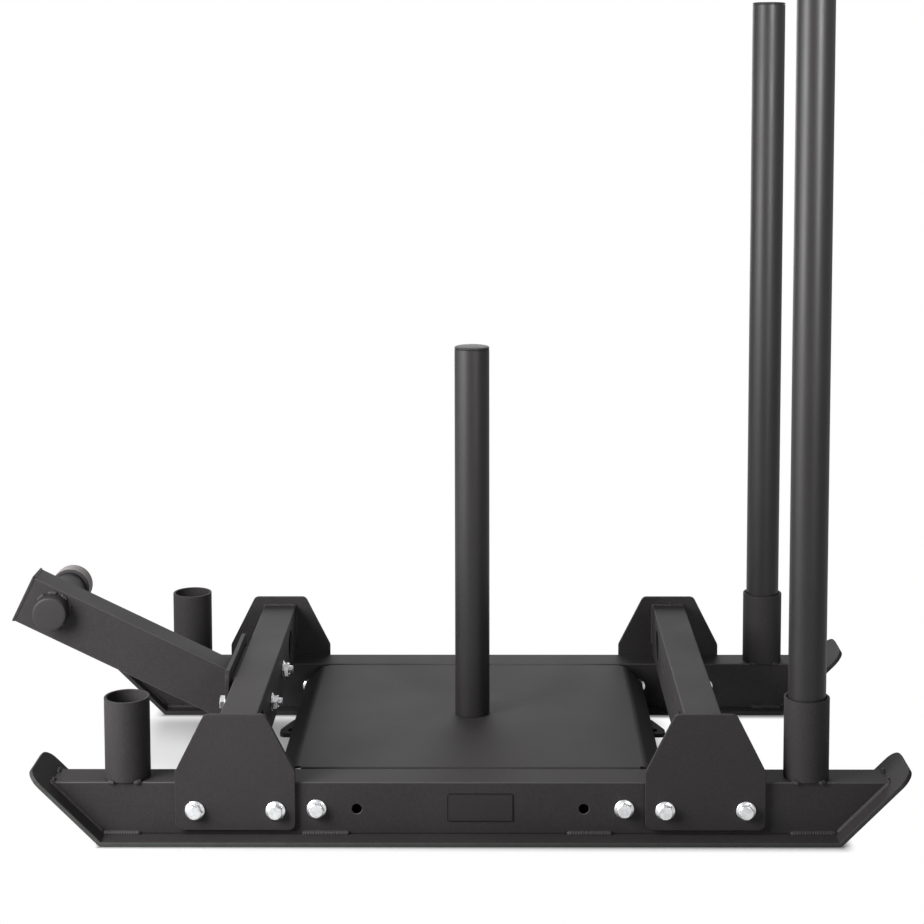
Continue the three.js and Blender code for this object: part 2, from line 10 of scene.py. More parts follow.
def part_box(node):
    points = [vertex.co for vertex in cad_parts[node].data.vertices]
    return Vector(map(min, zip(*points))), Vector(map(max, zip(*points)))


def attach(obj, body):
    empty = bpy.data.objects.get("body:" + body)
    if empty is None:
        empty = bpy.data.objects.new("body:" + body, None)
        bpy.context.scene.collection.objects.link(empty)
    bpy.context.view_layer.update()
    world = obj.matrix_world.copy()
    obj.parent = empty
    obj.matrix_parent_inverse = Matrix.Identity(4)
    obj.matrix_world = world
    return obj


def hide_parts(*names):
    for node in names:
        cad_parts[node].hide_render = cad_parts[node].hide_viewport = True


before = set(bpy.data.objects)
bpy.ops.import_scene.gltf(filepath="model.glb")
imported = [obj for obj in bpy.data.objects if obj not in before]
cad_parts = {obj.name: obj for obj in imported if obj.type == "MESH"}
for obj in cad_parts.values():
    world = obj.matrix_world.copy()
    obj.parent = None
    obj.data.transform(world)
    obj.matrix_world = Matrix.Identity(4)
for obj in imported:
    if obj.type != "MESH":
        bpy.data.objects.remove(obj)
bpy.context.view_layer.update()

# Pieces are drawn in millimetres about the middle of the sled, which is where the weight post stands
postLow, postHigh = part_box("weight_post")
sledMiddle = (postLow.x + postHigh.x) / 2
millimetre = 0.001
toFrame = Matrix.Translation((sledMiddle, 0, 0)) @ Matrix.Scale(millimetre, 4)
scene = bpy.context.scene

# Camera: fitted to edges measured in the picture
cameraView = {
    "location": (sledMiddle + 0.030334, -2.81077, 1.0273),
    "pitchDown": 5.0107,
    "yaw": -0.2733,
    "roll": -0.0586,
    "lens": 77.146,
    "sensor": 36.0,
    "shiftX": -0.023365,
    "shiftY": -0.251139,
}


def placeCamera():
    pitch, yaw, roll = [math.radians(cameraView[angle]) for angle in ("pitchDown", "yaw", "roll")]
    ahead = Vector((math.sin(yaw) * math.cos(pitch), math.cos(yaw) * math.cos(pitch), -math.sin(pitch)))
    level = Vector((math.cos(yaw), -math.sin(yaw), 0))
    upright = level.cross(ahead)
    right = level * math.cos(roll) + upright * math.sin(roll)
    up = upright * math.cos(roll) - level * math.sin(roll)
    data = bpy.data.cameras.new("studio_camera")
    data.sensor_width = cameraView["sensor"]
    data.lens = cameraView["lens"]
    data.shift_x = cameraView["shiftX"]
    data.shift_y = cameraView["shiftY"]
    camera = bpy.data.objects.new("studio_camera", data)
    turn = Matrix((right, up, -ahead)).transposed().to_4x4()
    camera.matrix_world = Matrix.Translation(cameraView["location"]) @ turn
    scene.collection.objects.link(camera)
    scene.camera = camera


placeCamera()
print("camera placed")


# Shader maths: a Signal is a socket that can be used in a Python expression
class Signal:
    def __init__(self, graph, socket):
        self.graph = graph
        self.socket = socket

    def __add__(self, other):
        return self.graph.maths("ADD", self, other)

    def __sub__(self, other):
        return self.graph.maths("SUBTRACT", self, other)

    def __rsub__(self, other):
        return self.graph.maths("SUBTRACT", other, self)

    def __mul__(self, other):
        return self.graph.maths("MULTIPLY", self, other)

    def __abs__(self):
        return self.graph.maths("ABSOLUTE", self)

    __radd__ = __add__
    __rmul__ = __mul__


class Graph:
    def __init__(self, name="", tree=None):
        if tree is None:
            self.material = bpy.data.materials.new(name)
            self.material.use_nodes = True
            tree = self.material.node_tree
            tree.nodes.clear()
        self.tree = tree

    def node(self, kind, settings=None, sockets=None, output=0):
        made = self.tree.nodes.new(kind)
        for name, value in (settings or {}).items():
            if name == "stops":
                ramp = made.color_ramp
                while len(ramp.elements) < len(value):
                    ramp.elements.new(0.5)
                for element, (place, shade) in zip(ramp.elements, value):
                    element.position = place
                    element.color = (shade, shade, shade, 1)
            else:
                setattr(made, name, value)
        for name, value in (sockets or {}).items():
            if isinstance(value, Signal):
                self.tree.links.new(value.socket, made.inputs[name])
            else:
                made.inputs[name].default_value = value
        return Signal(self, made.outputs[output]) if made.outputs else None

    def noise(self, place, scale, detail):
        return self.node("ShaderNodeTexNoise", None, {"Vector": place, "Scale": scale, "Detail": detail})

    # Rises softly from 0 at low to 1 at high
    def between(self, value, low, high):
        sockets = {"Value": value, "From Min": low, "From Max": high}
        return self.node("ShaderNodeMapRange", {"interpolation_type": "SMOOTHSTEP"}, sockets)

    def patches(self, place, scale, detail, low, high):
        return self.between(self.noise(place, scale, detail), low, high)

    # A mix of two colours
    def blend(self, factor, first, second):
        sockets = {"Factor": factor, 6: first, 7: second}
        return self.node("ShaderNodeMix", {"data_type": "RGBA"}, sockets, 2)

    def place(self):
        return self.node("ShaderNodeTexCoord", output="Object")

    def facing(self):
        return self.node("ShaderNodeTexCoord", output="Normal")

    def parts(self, vector):
        split = self.node("ShaderNodeSeparateXYZ", None, {0: vector})
        return [Signal(self, socket) for socket in split.socket.node.outputs]

    # 1 for what the camera sees, less in a rough reflection, and 0 for light that falls on things
    def seen(self, reflected):
        path = self.node("ShaderNodeLightPath").socket.node.outputs
        kinds = ("Is Camera Ray", "Is Transmission Ray", "Is Glossy Ray")
        camera, through, glossy = [Signal(self, path[kind]) for kind in kinds]
        return self.maths("MAXIMUM", self.maths("MAXIMUM", camera, through), glossy * reflected)

    def maths(self, operation, first, second=0):
        return self.node("ShaderNodeMath", {"operation": operation}, {0: first, 1: second})

    def finish(self, sockets):
        shader = self.node("ShaderNodeBsdfPrincipled", None, sockets)
        self.node("ShaderNodeOutputMaterial", None, {"Surface": shader})
        return self.material


# What all coats share: noises with scale, detail and soft limits, and their shares of the lighter colour
coatPatterns = {
    "clouds": (6.0, 4.0, 0.3, 0.7),
    "mottled": (420.0, 2.0, 0.3, 0.7),
    "speckle": (0.35, 0.65),
    "cloudShare": 0.3,
    "mottledShare": 0.45,
    "speckleShare": 0.25,
    "cloudRoughness": 0.06,
    "speckleRoughness": 0.04,
    "grainDetail": 3.0,
}

# Powder coat: matt black with a fine sandy grain. A look's accent is its colour where a mask is 1
powderLook = {
    "dark": (0.0185, 0.0170, 0.0177, 1),
    "light": (0.0298, 0.0273, 0.0284, 1),
    "grainScale": 950,
    "grainDepth": 0.00012,
    "grainStrength": 0.42,
    "roughness": 0.62,
    "gloss": 0.18,
}


def grainBump(graph, fine, look):
    sockets = {"Strength": look["grainStrength"], "Distance": look["grainDepth"], "Height": fine}
    return graph.node("ShaderNodeBump", None, sockets)


# A coat is a material and the name of a slot
def coatMaterial(name, look, mask=None, slot="powder_coat"):
    graph = Graph(name)
    place = graph.place()
    shares = coatPatterns
    fine = graph.noise(place, look["grainScale"], shares["grainDetail"])
    bump = grainBump(graph, fine, look)
    clouds = graph.patches(place, *shares["clouds"])
    mottled = graph.patches(place, *shares["mottled"])
    speckle = graph.between(fine, *shares["speckle"])
    lighter = clouds * shares["cloudShare"] + mottled * shares["mottledShare"]
    lighter += speckle * shares["speckleShare"]
    colour = graph.blend(lighter, look["dark"], look["light"])
    roughness = look["roughness"] + clouds * shares["cloudRoughness"]
    roughness += speckle * shares["speckleRoughness"]
    if mask:
        colour = graph.blend(mask(graph, place), colour, look["accent"])
    return graph.finish({
        "Base Color": colour,
        "Roughness": roughness,
        "Normal": bump,
        "Specular IOR Level": look["gloss"],
    }), slot


# Bars: the same coat, with a painted highlight that makes their rounded corners lighter
barLook = {
    **powderLook,
    "accent": (0.0672, 0.0625, 0.0645, 1),
    "turnFrom": 0.06,
    "turnTo": 0.30,
    "barShare": 0.85,
    "crossbarShare": 0.35,
}


# A bar's flat faces turn fully towards the given axis or not at all, and its rounded corners partly; the
# painted highlight lies on these corners
def paintedCornerHighlight(axis, share):
    def mask(graph, place):
        turned = abs(graph.parts(graph.facing())[axis])
        partly = turned * (1 - turned * turned)
        return graph.between(partly, barLook["turnFrom"], barLook["turnTo"]) * share
    return mask


# Skid plates: the same coat, rubbed to a greenish grey on the outer edges, and lighter there towards the
# front
skidLook = {
    **powderLook,
    "accent": (0.044, 0.048, 0.043, 1),
    "edgeFrom": 0.3088,
    "edgeTo": 0.3098,
    "rubbed": (45.0, 5.0, 0.25, 0.75),
    "leadingFrom": 0.45,
    "leadingTo": -0.45,
    "leastShare": 0.25,
    "rubbedShare": 0.35,
    "leadingShare": 0.35,
}


def skidWear(graph, place):
    x, y, z = graph.parts(place)
    edge = graph.between(abs(y), skidLook["edgeFrom"], skidLook["edgeTo"])
    rubbed = graph.patches(place, *skidLook["rubbed"]) * skidLook["rubbedShare"]
    leading = graph.between(x, skidLook["leadingFrom"], skidLook["leadingTo"]) * skidLook["leadingShare"]
    return edge * (skidLook["leastShare"] + rubbed + leading)


# Tubes of the poles and post: a smoother satin coat
tubeLook = {
    "dark": (0.0131, 0.0119, 0.0123, 1),
    "light": (0.0175, 0.0160, 0.0165, 1),
    "grainScale": 1300,
    "grainDepth": 0.00008,
    "grainStrength": 0.22,
    "roughness": 0.38,
    "gloss": 0.30,
}

# Welds under the coat: lumpier, with a painted highlight that makes them a little lighter than the flat
# coat
weldLook = {
    **powderLook,
    "dark": (0.0257, 0.0236, 0.0246, 1),
    "light": (0.0392, 0.0360, 0.0374, 1),
    "grainStrength": 0.6,
    "roughness": 0.55,
}

# Moulded end caps
capLook = {
    "dark": (0.0188, 0.0173, 0.0179, 1),
    "light": (0.0236, 0.0217, 0.0225, 1),
    "grainScale": 700,
    "grainDepth": 0.00006,
    "grainStrength": 0.2,
    "roughness": 0.44,
    "gloss": 0.24,
}

# Grey cap on the end of the peg, with painted shade making it darker round its mouth
rubberLook = {
    "dark": (0.230, 0.209, 0.210, 1),
    "light": (0.285, 0.261, 0.262, 1),
    "accent": (0.030, 0.0285, 0.0285, 1),
    "mouthFrom": 0.0915,
    "mouthTo": 0.0900,
    "grainScale": 800,
    "grainDepth": 0.00012,
    "grainStrength": 0.5,
    "roughness": 0.72,
    "gloss": 0.3,
}


# Painted shade on the cap's face round its mouth, on the side towards the arm
def paintedMouthShade(graph, place):
    return graph.between(graph.parts(place)[1], rubberLook["mouthFrom"], rubberLook["mouthTo"])


# Zinc plate on the bolts and nuts
zincLook = {
    "bright": (0.88, 0.89, 0.91, 1),
    "dull": (0.70, 0.70, 0.71, 1),
    "boltRoughness": 0.29,
    "nutRoughness": 0.13,
    "blotches": (160.0, 4.0, 0.35, 0.7),
    "blotchRoughness": 0.1,
    "grainScale": 900,
    "grainDetail": 2.0,
    "grainDepth": 0.0001,
    "grainStrength": 0.02,
}


def zincMaterial(name, roughness):
    graph = Graph(name)
    place = graph.place()
    blotches = graph.patches(place, *zincLook["blotches"])
    scuffs = graph.noise(place, zincLook["grainScale"], zincLook["grainDetail"])
    return graph.finish({
        "Base Color": graph.blend(blotches, zincLook["bright"], zincLook["dull"]),
        "Metallic": 1.0,
        "Roughness": blotches * zincLook["blotchRoughness"] + roughness,
        "Normal": grainBump(graph, scuffs, zincLook),
    }), "zinc"


powderCoat = coatMaterial("powder_coat", powderLook)
barCoat = coatMaterial("rail_coat", barLook, paintedCornerHighlight(1, barLook["barShare"]))
crossbarCoat = coatMaterial("crossbar_coat", barLook, paintedCornerHighlight(0, barLook["crossbarShare"]))
skidCoat = coatMaterial("skid_coat", skidLook, skidWear)
tubeCoat = coatMaterial("tube_coat", tubeLook, slot="tube_coat")
weldCoat = coatMaterial("weld_coat", weldLook)
blackPlastic = coatMaterial("cap_plastic", capLook, slot="black_plastic")
greyRubber = coatMaterial("grey_rubber", rubberLook, paintedMouthShade, "grey_rubber")
boltPlate = zincMaterial("bolt_zinc", zincLook["boltRoughness"])
nutPlate = zincMaterial("nut_zinc", zincLook["nutRoughness"])
print("materials made")


# Outlines: lists of flat points, anticlockwise round material and clockwise round a hole
def roundedLoop(corners, steps=6):
    points = []
    for index, (x, y, radius) in enumerate(corners):
        here = Vector((x, y))
        if radius == 0:
            points.append(here)
            continue
        toBefore = (Vector(corners[index - 1][:2]) - here).normalized()
        toAfter = (Vector(corners[(index + 1) % len(corners)][:2]) - here).normalized()
        half = toBefore.angle(toAfter) / 2
        centre = here + (toBefore + toAfter).normalized() * (radius / math.sin(half))
        start = here + toBefore * (radius / math.tan(half)) - centre
        end = here + toAfter * (radius / math.tan(half)) - centre
        first = math.atan2(start.y, start.x)
        sweep = math.atan2(end.y, end.x) - first
        sweep = (sweep + math.pi) % math.tau - math.pi
        for step in range(steps + 1):
            turn = first + sweep * step / steps
            points.append(centre + Vector((math.cos(turn), math.sin(turn))) * radius)
    return points


def boxLoop(left, low, right, high, radius, steps=6):
    corners = [(left, low), (right, low), (right, high), (left, high)]
    return roundedLoop([(*corner, radius) for corner in corners], steps)


# The outside and the bore of a tube drawn end on
def boxTubeLoops(left, low, right, high, wall, radius):
    inner = boxLoop(left + wall, low + wall, right - wall, high - wall, radius / 2)
    inner.reverse()
    return [boxLoop(left, low, right, high, radius), inner]


def holeLoop(x, y, radius, sides=40):
    turns = [-math.tau * side / sides for side in range(sides)]
    return [Vector((x + radius * math.cos(turn), y + radius * math.sin(turn))) for turn in turns]


def insetLoop(loop, inset):
    points = []
    for index, here in enumerate(loop):
        before = (here - loop[index - 1]).normalized()
        after = (loop[(index + 1) % len(loop)] - here).normalized()
        outwards = Vector((before.y + after.y, -before.x - after.x))
        points.append(here - outwards * (inset / (1 + before.dot(after))))
    return points


def joinRings(mesh, lower, upper):
    for index, corner in enumerate(lower):
        following = (index + 1) % len(lower)
        mesh.faces.new((corner, lower[following], upper[following], upper[index]))


# Faces from each ring to the next, where a ring of one corner is a tip. Without tips, the last ring
# joins the first
def joinLevels(mesh, rings):
    pairs = list(zip(rings, rings[1:]))
    if len(rings[0]) > 1:
        pairs.append((rings[-1], rings[0]))
    for lower, upper in pairs:
        if len(lower) == 1 or len(upper) == 1:
            tip, ring = (lower[0], upper) if len(lower) == 1 else (upper[0], lower)
            for index, corner in enumerate(ring):
                mesh.faces.new((tip, corner, ring[(index + 1) % len(ring)]))
        else:
            joinRings(mesh, lower, upper)


# A plate or tube: outlines carried from low to high, with its edges rounded off
def addPlate(mesh, loops, low, high, edge, toSpace, edgeSteps=3):
    levels = []
    for step in range(edgeSteps + 1):
        turn = math.pi / 2 * step / edgeSteps
        levels.append((edge * (1 - math.sin(turn)), edge * (1 - math.cos(turn))))
    heights = [(inset, low + rise) for inset, rise in levels]
    heights += [(inset, high - rise) for inset, rise in reversed(levels)]
    rings = []
    for inset, height in heights:
        level = []
        for loop in loops:
            level.append([mesh.verts.new(toSpace(*point, height)) for point in insetLoop(loop, inset)])
        rings.append(level)
    for lower, upper in zip(rings, rings[1:]):
        for lowRing, highRing in zip(lower, upper):
            joinRings(mesh, lowRing, highRing)
    flat = [[point.to_3d() for point in insetLoop(loop, edge)] for loop in loops]
    triangles = tessellate_polygon(flat)
    for level in (rings[0], rings[-1]):
        corners = [corner for ring in level for corner in ring]
        for triangle in triangles:
            mesh.faces.new([corners[index] for index in triangle])


def hexRadius(turn, halfFlats):
    sixth = math.pi / 3
    return halfFlats / math.cos((turn + sixth / 2) % sixth - sixth / 2)


# A turned piece from (radius, height) points, or (radius, height, crown) where it is six-sided: its
# radius is then half the width across flats, and crown lowers its corners
def addTurned(mesh, profile, sides, toSpace, turned=0):
    rings = []
    for radius, height, *crown in profile:
        if radius == 0:
            rings.append([mesh.verts.new(toSpace(0, 0, height))])
            continue
        ring = []
        for side in range(sides):
            turn = math.tau * side / sides
            reach = hexRadius(turn, radius) if crown else radius
            level = height - sum(crown) * (reach - radius)
            turn += turned
            ring.append(mesh.verts.new(toSpace(reach * math.cos(turn), reach * math.sin(turn), level)))
        rings.append(ring)
    joinLevels(mesh, rings)


def tubeProfile(inner, outer, low, high, rim):
    return roundedLoop([(inner, low, 0.4), (outer, low, rim), (outer, high, rim), (inner, high, rim)], 3)


def meshObject(name, mesh):
    data = bpy.data.meshes.new(name)
    bmesh.ops.recalc_face_normals(mesh, faces=mesh.faces)
    mesh.to_mesh(data)
    mesh.free()
    made = bpy.data.objects.new(name, data)
    scene.collection.objects.link(made)
    return made


# Cuts one mesh out of another and gives back what is left
def cutAway(mesh, cutters):
    body = meshObject("cut_body", mesh)
    tool = meshObject("cut_tool", cutters)
    cut = body.modifiers.new("cut", "BOOLEAN")
    cut.object = tool
    cut.operation = "DIFFERENCE"
    cut.solver = "EXACT"
    shown = body.evaluated_get(bpy.context.evaluated_depsgraph_get())
    left = bmesh.new()
    left.from_mesh(shown.to_mesh())
    shown.to_mesh_clear()
    for used in (body, tool):
        data = used.data
        bpy.data.objects.remove(used)
        bpy.data.meshes.remove(data)
    bmesh.ops.remove_doubles(left, verts=left.verts, dist=0.0001)
    return left


# A cutter for a round hole through a wall from low to high, with a small chamfer at both faces
def addHoleCutter(mesh, radius, low, high, toSpace, chamfer=0.5, sides=40):
    profile = [
        (0, low - 2), (radius + chamfer + 2, low - 2), (radius, low + chamfer),
        (radius, high - chamfer), (radius + chamfer + 2, high + 2), (0, high + 2),
    ]
    addTurned(mesh, profile, sides, toSpace)


def addPiece(name, mesh, coat, nodes=(), body="sled", sharpAngle=34):
    material, slot = coat
    mesh.transform(toFrame)
    piece = meshObject(name, mesh)
    piece.data.shade_smooth()
    piece.data.set_sharp_from_angle(angle=math.radians(sharpAngle))
    piece.data.materials.append(material)
    shading = piece.modifiers.new("even_shading", "WEIGHTED_NORMAL")
    shading.keep_sharp = True
    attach(piece, body)
    if nodes:
        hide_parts(*nodes)


# A plate in powder coat that stands for the node of the same name
def platePiece(name, loops, low, high, edge, toSpace):
    mesh = bmesh.new()
    addPlate(mesh, loops, low, high, edge, toSpace)
    addPiece(f"{name}_plate", mesh, powderCoat, [name])


def turnedPiece(name, ending, profile, sides, toSpace, coat, body="sled", turned=0):
    mesh = bmesh.new()
    addTurned(mesh, profile, sides, toSpace, turned)
    addPiece(f"{name}_{ending}", mesh, coat, [name], body)


# Axes for drawing: the outline's two directions and then the direction it is carried in
def alongX(x=0, y=0, z=0):
    return lambda across, up, out: Vector((x + out, y + across, z + up))


def alongY(x=0, y=0, z=0):
    return lambda across, up, out: Vector((x + across, y + out, z + up))


def alongZ(x=0, y=0, z=0):
    return lambda across, up, out: Vector((x + across, y + up, z + out))


# The left side is at -Y; the right side is the left one turned half round
sides = {"left": -1, "right": 1}
endNames = {-1: "front", 1: "rear"}

rail = {
    "spacing": 510,
    "width": 50,
    "low": 6,
    "high": 76,
    "wall": 3,
    "cornerRadius": 2,
    "edge": 0.4,
    "endAtLow": 481.235,
    "holeHeight": 40,
    "holeRadius": 6.75,
    "holes": (149.5, 202.5, 256, 362),
}
railOuter = rail["spacing"] / 2 + rail["width"] / 2
railInner = rail["spacing"] / 2 - rail["width"] / 2
railMiddle = {side: outwards * rail["spacing"] / 2 for side, outwards in sides.items()}


def buildRail(side):
    half = rail["width"] / 2
    loops = boxTubeLoops(-half, rail["low"], half, rail["high"], rail["wall"], rail["cornerRadius"])
    middle = railMiddle[side]

    def slopedEnds(across, up, out):
        return Vector((out + math.copysign(up - rail["low"], out), middle + across, up))

    mesh = bmesh.new()
    addPlate(mesh, loops, -rail["endAtLow"], rail["endAtLow"], rail["edge"], slopedEnds)
    cutters = bmesh.new()
    for x in rail["holes"]:
        for end in (-1, 1):
            at = alongY(end * x, middle, rail["holeHeight"])
            addHoleCutter(cutters, rail["holeRadius"], -half, half, at)
    addPiece(f"{side}_rail_tube", cutAway(mesh, cutters), barCoat, [f"{side}_rail"])


# Skid plate: a flat plate with rounded ends, then bent up at both ends
skid = {
    "width": 100,
    "offset": 5,
    "thickness": 6,
    "bendAt": 484,
    "bendRadius": 8.5,
    "bendAngle": math.radians(45),
    "turnUp": 133,
    "cornerRadius": 22,
    "edge": 1.1,
    "bendSteps": 6,
    "cornerSteps": 10,
}


# Folds a point of a flat sheet over where it lies beyond start, and gives back how far it rises.
# Depth is from the sheet's outer face
def foldPoint(point, axis, depth, fold):
    start, radius, angle = fold
    along = abs(point.co[axis])
    if along <= start:
        return depth
    turn = min((along - start) / radius, angle)
    straight = along - start - radius * turn
    ring = radius - depth
    run = start + ring * math.sin(turn) + straight * math.cos(turn)
    point.co[axis] = math.copysign(run, point.co[axis])
    return radius - ring * math.cos(turn) + straight * math.sin(turn)


def creaseAt(mesh, axis, fold, steps):
    start, radius, angle = fold
    for step in range(steps + 1):
        at = start + radius * angle * step / steps
        for end in (-1, 1):
            geometry = mesh.verts[:] + mesh.edges[:] + mesh.faces[:]
            point = Vector((0, 0, 0))
            point[axis] = end * at
            normal = Vector((0, 0, 0))
            normal[axis] = 1
            bmesh.ops.bisect_plane(mesh, geom=geometry, dist=0.0005, plane_co=point, plane_no=normal)


def buildSkidPlate(side):
    setback = skid["bendRadius"] * math.tan(skid["bendAngle"] / 2)
    start = skid["bendAt"] - setback
    reach = start + skid["bendRadius"] * skid["bendAngle"] + skid["turnUp"] - setback
    half = skid["width"] / 2
    outline = boxLoop(-reach, -half, reach, half, skid["cornerRadius"], skid["cornerSteps"])
    mesh = bmesh.new()
    middle = sides[side] * (rail["spacing"] / 2 + skid["offset"])
    addPlate(mesh, [outline], 0, skid["thickness"], skid["edge"], alongZ(0, middle))
    fold = start, skid["bendRadius"], skid["bendAngle"]
    creaseAt(mesh, 0, fold, skid["bendSteps"])
    for point in mesh.verts:
        point.co.z = foldPoint(point, 0, point.co.z, fold)
    addPiece(f"{side}_skid_runner", mesh, skidCoat, [f"{side}_skid_plate"])


for side in sides:
    buildRail(side)
    buildSkidPlate(side)
print("rails and skid plates built")

# Pole sockets: the right side is the left side turned round, so their offsets are mirrored
socket = {
    "outerRadius": 30,
    "innerRadius": 26.5,
    "low": 76.2,
    "high": 184.2,
    "rim": 0.9,
    "sides": 72,
    "x": {("left", -1): -455, ("left", 1): 445, ("right", -1): -445, ("right", 1): 455},
}


def buildSocket(side, end):
    at = alongZ(socket["x"][(side, end)], railMiddle[side])
    profile = tubeProfile(
        socket["innerRadius"], socket["outerRadius"], socket["low"], socket["high"], socket["rim"])
    name = f"{endNames[end]}_{side}_socket"
    turnedPiece(name, "tube", profile, socket["sides"], at, powderCoat)


crossbar = {
    "x": 309,
    "width": 50,
    "low": 76.2,
    "high": 156.2,
    "halfLength": 279.8,
    "wall": 3,
    "cornerRadius": 2,
    "edge": 0.4,
    "holeHeight": 116.2,
    "holeChamfer": 0.6,
    "holeSides": 64,
    "largeHoles": (190, 25),
    "boltHoles": (75, 6.75),
}


def buildCrossbar(end):
    half, reach = crossbar["width"] / 2, crossbar["halfLength"]
    low, high = crossbar["low"], crossbar["high"]
    loops = boxTubeLoops(-half, low, half, high, crossbar["wall"], crossbar["cornerRadius"])
    mesh = bmesh.new()
    addPlate(mesh, loops, -reach, reach, crossbar["edge"], alongY(end * crossbar["x"]))
    chamfer, holeSides = crossbar["holeChamfer"], crossbar["holeSides"]
    cutters = bmesh.new()
    for place, radius in (crossbar["largeHoles"], crossbar["boltHoles"]):
        for across in (-1, 1):
            at = alongX(end * crossbar["x"], across * place, crossbar["holeHeight"])
            addHoleCutter(cutters, radius, -half, half, at, chamfer, holeSides)
    name = f"{endNames[end]}_crossbar"
    addPiece(f"{name}_tube", cutAway(mesh, cutters), crossbarCoat, [name])


bracket = {
    "halfWidth": 79,
    "halfTop": 40,
    "low": 13,
    "shoulder": 92,
    "high": 169.2,
    "innerFace": 280.2,
    "thickness": 6,
    "cornerRadius": 9,
    "boltSpacing": 106,
    "edge": 0.9,
}


def buildBracket(side, end):
    wide, narrow = bracket["halfWidth"], bracket["halfTop"]
    low, shoulder, high = bracket["low"], bracket["shoulder"], bracket["high"]
    corners = [
        (-wide, low), (wide, low), (wide, shoulder), (narrow, high), (-narrow, high), (-wide, shoulder),
    ]
    loops = [roundedLoop([(*corner, bracket["cornerRadius"]) for corner in corners])]
    for place in (-0.5, 0.5):
        loops.append(holeLoop(place * bracket["boltSpacing"], rail["holeHeight"], rail["holeRadius"]))
    inner = bracket["innerFace"]
    faces = sorted(sides[side] * face for face in (inner, inner + bracket["thickness"]))
    name = f"{endNames[end]}_{side}_bracket"
    platePiece(name, loops, *faces, bracket["edge"], alongY(end * crossbar["x"]))


for end in endNames:
    buildCrossbar(end)
    for side in sides:
        buildSocket(side, end)
        buildBracket(side, end)
print("sockets, crossbars and brackets built")

# Weight tray: one sheet with notched corners, its sides folded down square and its ends at a slope
tray = {
    "top": 76,
    "thickness": 3,
    "edge": 0.7,
    "sideStart": 222.5,
    "sideRadius": 7,
    "sideAngle": math.radians(90),
    "sideStraight": 45,
    "sideHalfLength": 228.5,
    "sideCorner": 6,
    "endStart": 231,
    "endRadius": 15,
    "endAngle": math.radians(45),
    "endStraight": 30.557,
    "endHalfWidth": 220,
    "endCorner": 5,
    "notchRadius": 2,
    "sideSteps": 8,
    "endSteps": 6,
    "boltX": 202.5,
    "holeSides": 32,
    "gap": 0.5,
}


def buildTray():
    sideReach = tray["sideStart"] + tray["sideRadius"] * tray["sideAngle"] + tray["sideStraight"]
    endReach = tray["endStart"] + tray["endRadius"] * tray["endAngle"] + tray["endStraight"]
    long, wide = tray["sideHalfLength"], tray["endHalfWidth"]
    quarter = [
        (long, -sideReach, tray["sideCorner"]), (long, -wide, tray["notchRadius"]),
        (endReach, -wide, tray["endCorner"]),
    ]
    corners = list(quarter)
    corners += [(x, -y, radius) for x, y, radius in reversed(quarter)]
    corners += [(-x, -y, radius) for x, y, radius in quarter]
    corners += [(-x, y, radius) for x, y, radius in reversed(quarter)]
    holeDrop = tray["top"] - rail["holeHeight"] - tray["sideRadius"]
    holeAt = tray["sideStart"] + tray["sideRadius"] * tray["sideAngle"] + holeDrop
    loops = [roundedLoop(corners)]
    for end in (-1, 1):
        for across in (-1, 1):
            hole = end * tray["boltX"], across * holeAt, rail["holeRadius"]
            loops.append(holeLoop(*hole, tray["holeSides"]))
    mesh = bmesh.new()
    addPlate(mesh, loops, 0, tray["thickness"], tray["edge"], alongZ())
    folds = [[tray[f"{edge}{part}"] for part in ("Start", "Radius", "Angle")] for edge in ("end", "side")]
    creaseAt(mesh, 1, folds[1], tray["sideSteps"])
    creaseAt(mesh, 0, folds[0], tray["endSteps"])
    for point in mesh.verts:
        axis = 1 if abs(point.co.y) > tray["sideStart"] else 0
        rise = foldPoint(point, axis, tray["thickness"] - point.co.z, folds[axis])
        point.co.z = tray["top"] - rise
    addPiece("weight_tray_sheet", mesh, powderCoat, ["weight_tray"])


towEye = {
    "backX": 239.2,
    "shoulderX": 264.68,
    "tipX": 280.48,
    "leftSide": -11,
    "tipRight": 9,
    "rightSide": 52,
    "backRadius": 6,
    "baseRadius": 7,
    "tipRadius": 8,
    "holeX": 263.68,
    "holeY": 5,
    "holeRadius": 6.5,
    "low": 41.68,
    "high": 47.68,
    "edge": 0.9,
}


def buildTowEye(end):
    back, shoulder, tip = towEye["backX"], towEye["shoulderX"], towEye["tipX"]
    left, right = towEye["leftSide"], towEye["rightSide"]
    outline = roundedLoop([
        (back, left, towEye["backRadius"]), (tip, left, towEye["tipRadius"]),
        (tip, towEye["tipRight"], towEye["tipRadius"]), (shoulder, right, towEye["baseRadius"]),
        (back, right, towEye["backRadius"]),
    ])
    hole = holeLoop(towEye["holeX"], towEye["holeY"], towEye["holeRadius"])

    def toEnd(across, up, out):
        return Vector((end * across, up, out))

    name = f"{endNames[end]}_tow_eye"
    platePiece(name, [outline, hole], towEye["low"], towEye["high"], towEye["edge"], toEnd)


buildTray()
for end in endNames:
    buildTowEye(end)
print("tray and tow eyes built")

# Round tubes that stand up, and the moulded caps on their ends
upright = {
    "outerRadius": 25,
    "innerRadius": 22,
    "rim": 0.8,
    "postLow": 76.2,
    "postHigh": 610.7,
    "poleLow": 76.3,
    "poleHigh": 1106.3,
    "sides": 96,
}
endCap = {
    "plugRadius": 21.6,
    "plugDepth": 20,
    "gap": 0.5,
    "lipRadius": 25,
    "rise": 3.65,
    "sides": 72,
}


def buildUpright(name, x, y, low, high, body):
    profile = tubeProfile(upright["innerRadius"], upright["outerRadius"], low, high, upright["rim"])
    turnedPiece(name, "tube", profile, upright["sides"], alongZ(x, y), tubeCoat, body)


